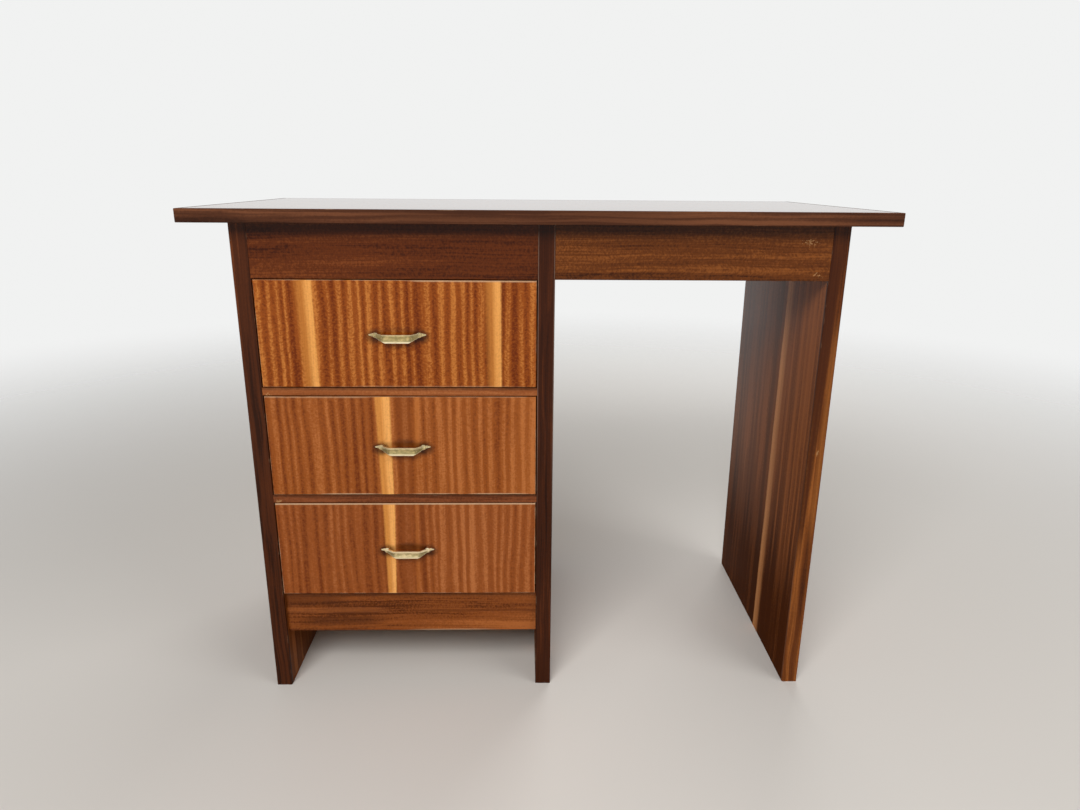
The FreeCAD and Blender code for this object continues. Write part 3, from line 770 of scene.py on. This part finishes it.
def bare_wood(name, tones, grain, offset, figure, layers=None):
    """Planed wood with no finish, a little grubby on its edges. Plywood shows its middle layer on them."""
    material, graph, shader = new_material(name)
    board = graph.place(grain, offset)
    here = graph.place()
    wood = graph.group("wood_figure", {"Vector": board, "Dark": tones[0], "Middle": tones[1],
                                       "Light": tones[2], **figure})
    shade = wood["Color"]
    if layers:
        axis, low, high = layers
        depth = dict(zip("xyz", graph.axes(here)))[axis]
        outer = (high - low) * outer_layer_share
        inside = graph.maths("MULTIPLY", graph.maths("GREATER_THAN", depth, low + outer),
                             graph.maths("LESS_THAN", depth, high - outer))
        shade = graph.mix(inside, shade, middle_layer_colour, "MULTIPLY")
    dirt_and_shade = graph.spread(graph.noise(here, (7.0, 7.0, 7.0), 4.0, 0.6), 0.45, 0.75, 0.0, 0.5)
    shade = graph.mix(dirt_and_shade, shade, soiled_colour, "MULTIPLY")
    worn_and_highlit = graph.group("arris_wear_and_highlight", {"Vector": here, "Width": soiled_edge_width, "Bare": 0.55})["Wear_and_highlight"]
    shade = graph.mix(graph.maths("MULTIPLY", worn_and_highlit, 0.5), shade, soiled_edge_colour, "MULTIPLY")
    set_sockets(graph, shader, {
        "Base Color": shade,
        "Roughness": graph.maths("ADD", 0.55, graph.maths("MULTIPLY", wood["Fibre"], 0.25)),
        "Specular IOR Level": 0.3,
        "Normal": bump(graph, wood["Height"], bare_grain_depth),
    })
    return material


def bare_woods():
    """Beech for the drawer boxes and the guides, plywood for the thin sheets, by node."""
    beech_tones = tones((0.36, 0.19, 0.085), (0.55, 0.34, 0.17), (0.66, 0.44, 0.24))
    beech_figure = {"Pitch": 0.03, "Ribbon": 0.15, "Fibre": 0.35, "Fleck": 0.15, "Drift": 0.3, "Ring": 0.3,
                    "Pore": 0.6}
    ply_tones = tones((0.38, 0.20, 0.085), (0.56, 0.34, 0.165), (0.68, 0.46, 0.25))
    ply_figure = {"Pitch": 0.06, "Ribbon": 0.15, "Fibre": 0.35, "Fleck": 0.12, "Drift": 0.35, "Ring": 0.38,
                  "Pore": 0.4}
    beech_depth = bare_wood("beech_along_depth", beech_tones, along_depth, (0.8, 1.1, 0.0), beech_figure)
    beech_width = bare_wood("beech_along_width", beech_tones, along_width, (2.3, 0.6, 0.0), beech_figure)
    low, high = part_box("pedestal_back_panel")
    back = bare_wood(
        "back_panel_plywood", ply_tones, upright, (5.5, 2.8, 0.0), ply_figure, ("y", low.y, high.y))

    made = {"pedestal_back_panel": back, "drawer_stops": beech_width}
    for name in ("left_cleat", "middle_left_cleat", "middle_right_cleat", "right_cleat", "left_kicker",
                 "right_kicker"):
        made[name] = beech_depth
    for tier in tiers:
        low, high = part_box(f"{tier}_drawer_bottom")
        made[f"{tier}_drawer_back"] = beech_width
        made[f"{tier}_drawer_bottom"] = bare_wood(
            f"{tier}_bottom_plywood", ply_tones, along_width, (3.7, 1.5, low.z), ply_figure,
            ("z", low.z, high.z))
        for side in ("left", "right"):
            made[f"{tier}_{side}_runner"] = beech_depth
            made[f"{tier}_drawer_{side}_side"] = beech_depth
    return made


def aged_brass(tier):
    """Cast brass, rubbed bright and painted with highlights on its lips and feet, painted with shade on its
    arms, and dulled to a mottled olive in the cove.
    """
    material, graph, shader = new_material(f"{tier}_pull_brass")
    here = graph.place()
    low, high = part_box(f"{tier}_drawer_pull")
    lift = graph.maths("SUBTRACT", graph.axes(here)[2], low.z)
    eased = graph.add("ShaderNodeBevel", {"Radius": 0.0015}, samples=6).outputs[0]
    straight = graph.add("ShaderNodeNewGeometry").outputs["Normal"]
    turned = graph.add("ShaderNodeVectorMath", {0: eased, 1: straight}, operation="DOT_PRODUCT").outputs[1]
    light, dull, upper_lip_highlight = brass_tones[tier]
    blotches = graph.noise(here, (150.0, 150.0, 220.0), 2.5, 0.5)
    scratches = graph.spread(graph.noise(here, (120.0, 1500.0, 1500.0), 2.0), 0.4, 0.65)
    # The upper lip's painted highlight, stronger on the lower pulls
    above = graph.maths("MULTIPLY", graph.spread(lift, *upper_lip_start), upper_lip_highlight)
    lips = graph.maths("MAXIMUM", graph.spread(lift, *lower_lip_end), above)
    rubbed_and_highlit = graph.maths("MAXIMUM", lips, graph.spread(turned, 0.985, 0.9))
    rubbed_and_highlit = graph.maths("MULTIPLY", rubbed_and_highlit, graph.spread(blotches, 0.25, 0.48, 0.5, 1.0))
    dulled = graph.spread(blotches, 0.36, 0.62)
    shade = graph.mix(dulled, colour(*light), colour(*dull))
    apart = graph.maths("SUBTRACT", graph.axes(here)[0], (low.x + high.x) / 2)
    apart = graph.maths("ABSOLUTE", apart)
    arms = graph.maths("MULTIPLY", graph.spread(apart, *arm_start), graph.spread(apart, *arm_end))
    # Painted shade on the arms, then painted highlights with rubbing on the lips and edges
    shade = graph.mix(graph.maths("MULTIPLY", arms, arm_shade_strength), shade, arm_shade_colour)
    shade = graph.mix(rubbed_and_highlit, shade, rubbed_and_highlit_brass_colour)
    rough = graph.maths("ADD", 0.36, graph.maths("MULTIPLY", dulled, 0.12))
    height = graph.maths("ADD", blotches, graph.maths("MULTIPLY", scratches, 0.15))
    set_sockets(graph, shader, {
        "Base Color": shade,
        "Metallic": 1.0,
        "Roughness": graph.maths("SUBTRACT", rough, graph.maths("MULTIPLY", rubbed_and_highlit, 0.04)),
        "Normal": bump(graph, height, cast_depth),
    })
    return material


def plated_steel():
    """Zinc-plated steel with dull spots."""
    material, graph, shader = new_material("plated_steel")
    here = graph.place()
    spots = graph.spread(graph.noise(here, (900.0, 900.0, 900.0), 4.0, 0.6), 0.42, 0.7)
    shade = graph.mix(spots, steel_colour, dull_steel_colour)
    set_sockets(graph, shader, {
        "Base Color": shade,
        "Metallic": 1.0,
        "Roughness": graph.maths("ADD", 0.3, graph.maths("MULTIPLY", spots, 0.3)),
    })
    return material


def dress_nodes(steel):
    """Gives every solid of the desk its material."""
    finishes = {**drawer_veneers(), **rail_woods(), **lipping_woods(), **panel_veneers(), **bare_woods()}
    for tier in tiers:
        finishes[f"{tier}_drawer_pull"] = aged_brass(tier)
        finishes[f"{tier}_drawer_pull_screws"] = steel
    for name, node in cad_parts.items():
        node.data.materials.clear()
        node.data.materials.append(finishes[name])


# Panel pins


def add_pins(name, body, places, outward, steel):
    """Wire pins through a thin sheet: a shallow domed head on its face, and a pointed shank behind."""
    mesh = bmesh.new()
    turn = Vector((0.0, 0.0, 1.0)).rotation_difference(outward).to_matrix().to_4x4()
    for place in places:
        to_place = Matrix.Translation(place) @ turn
        rings = []
        for radius, rise in pin_profile:
            ring = []
            for step in range(pin_sides):
                angle = 2 * math.pi * step / pin_sides
                point = Vector((radius * math.cos(angle), radius * math.sin(angle), rise))
                ring.append(mesh.verts.new(to_place @ point))
            rings.append(ring)
        for upper, lower in zip(rings, rings[1:]):
            for step in range(pin_sides):
                beside = (step + 1) % pin_sides
                mesh.faces.new((upper[step], lower[step], lower[beside], upper[beside]))
        mesh.faces.new(rings[0])
        mesh.faces.new(reversed(rings[-1]))
    for face in mesh.faces:
        face.smooth = True
    shape = bpy.data.meshes.new(name)
    mesh.to_mesh(shape)
    mesh.free()
    shape.materials.append(steel)
    pins = bpy.data.objects.new(name, shape)
    bpy.context.scene.collection.objects.link(pins)
    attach(pins, body)


def pin_sheets(steel):
    """Pins down both edges of the pedestal's back, and up through each drawer bottom into that drawer."""
    low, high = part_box("pedestal_back_panel")
    rises = [low.z + pin_end_gap + (high.z - low.z - 2 * pin_end_gap) * step / (back_pins - 1)
             for step in range(back_pins)]
    places = [Vector((x, high.y, z)) for x in (low.x + pin_inset, high.x - pin_inset) for z in rises]
    add_pins("back_panel_pins", "carcass", places, Vector((0.0, 1.0, 0.0)), steel)
    for tier in tiers:
        low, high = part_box(f"{tier}_drawer_back")
        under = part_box(f"{tier}_drawer_bottom")[0].z
        places = [Vector((low.x + (high.x - low.x) * share, (low.y + high.y) / 2, under))
                  for share in bottom_pin_shares]
        add_pins(f"{tier}_drawer_bottom_pins", f"{tier}_drawer", places, Vector((0.0, 0.0, -1.0)), steel)


# Studio


def make_floor():
    """A pale floor that fades into the backdrop far from the desk."""
    material, graph, shader = new_material("studio_floor")
    here = graph.place()
    tint = graph.noise(here, (1.3, 1.3, 1.3), 2.0)
    pale = tuple(channel * floor_tint for channel in floor_colour)
    shade = graph.mix(tint, colour(*floor_colour), colour(*pale))
    set_sockets(graph, shader, {"Base Color": shade, "Roughness": 0.6, "Specular IOR Level": 0.2})
    reach = graph.add("ShaderNodeVectorMath", {0: here}, operation="LENGTH").outputs[1]
    gone = graph.spread(reach, floor_solid_reach, floor_fade_reach)
    clear = graph.add("ShaderNodeBsdfTransparent").outputs[0]
    faded = graph.add("ShaderNodeMixShader", {0: gone, 1: shader.outputs[0], 2: clear}).outputs[0]
    output = next(node for node in graph.tree.nodes if node.type == "OUTPUT_MATERIAL")
    graph.tree.links.new(faded, output.inputs["Surface"])

    mesh = bpy.data.meshes.new("studio_floor")
    half = floor_reach / 2
    corners = [(-half, -half, 0.0), (half, -half, 0.0), (half, half, 0.0), (-half, half, 0.0)]
    mesh.from_pydata(corners, [], [(0, 1, 2, 3)])
    mesh.materials.append(material)
    floor = bpy.data.objects.new("studio_floor", mesh)
    bpy.context.scene.collection.objects.link(floor)


def make_world():
    """A white backdrop for the camera and for reflections, and a softer light on the desk."""
    world = bpy.data.worlds.new("studio")
    world.use_nodes = True
    world.node_tree.nodes.clear()
    graph = Graph(world.node_tree)
    path = graph.add("ShaderNodeLightPath").outputs
    seen = graph.maths("MAXIMUM", path["Is Camera Ray"], path["Is Glossy Ray"])
    seen = graph.maths("MAXIMUM", seen, path["Is Transmission Ray"])
    backdrop = graph.add("ShaderNodeBackground", {"Color": colour(*backdrop_colour), "Strength": 1.0})
    ambient = graph.add("ShaderNodeBackground", {"Color": colour(1, 1, 1), "Strength": ambient_light})
    mixed = graph.add("ShaderNodeMixShader", {0: seen, 1: ambient.outputs[0], 2: backdrop.outputs[0]})
    graph.add("ShaderNodeOutputWorld", {"Surface": mixed.outputs[0]})
    bpy.context.scene.world = world


def make_lamps():
    """Large soft lamps around the desk, which leave no hard shapes in its gloss."""
    for name, lamp in lamps.items():
        light = bpy.data.lights.new(name, "AREA")
        light.shape = "RECTANGLE"
        light.size, light.size_y = lamp["size"]
        light.energy = lamp["power"]
        holder = bpy.data.objects.new(name, light)
        holder.location = lamp["place"]
        holder.visible_glossy = False
        holder.rotation_euler = (lamp_aim - lamp["place"]).to_track_quat("-Z", "Y").to_euler()
        bpy.context.scene.collection.objects.link(holder)


def make_camera():
    """The photograph's own viewpoint and angle of view."""
    lens = bpy.data.cameras.new("camera")
    lens.sensor_width = camera_sensor
    lens.lens = focal_pixels / image_width * camera_sensor
    turn = Matrix.Rotation(-camera_yaw, 4, "Z") @ Matrix.Rotation(math.pi / 2 - camera_pitch, 4, "X")
    turn = turn @ Matrix.Rotation(camera_roll, 4, "Z")
    camera = bpy.data.objects.new("camera", lens)
    camera.matrix_world = Matrix.Translation(camera_place) @ turn
    bpy.context.scene.collection.objects.link(camera)
    bpy.context.scene.camera = camera


steel = plated_steel()
dress_nodes(steel)
pin_sheets(steel)
make_floor()
make_world()
make_lamps()
make_camera()
bpy.context.scene.view_settings.view_transform = "Standard"
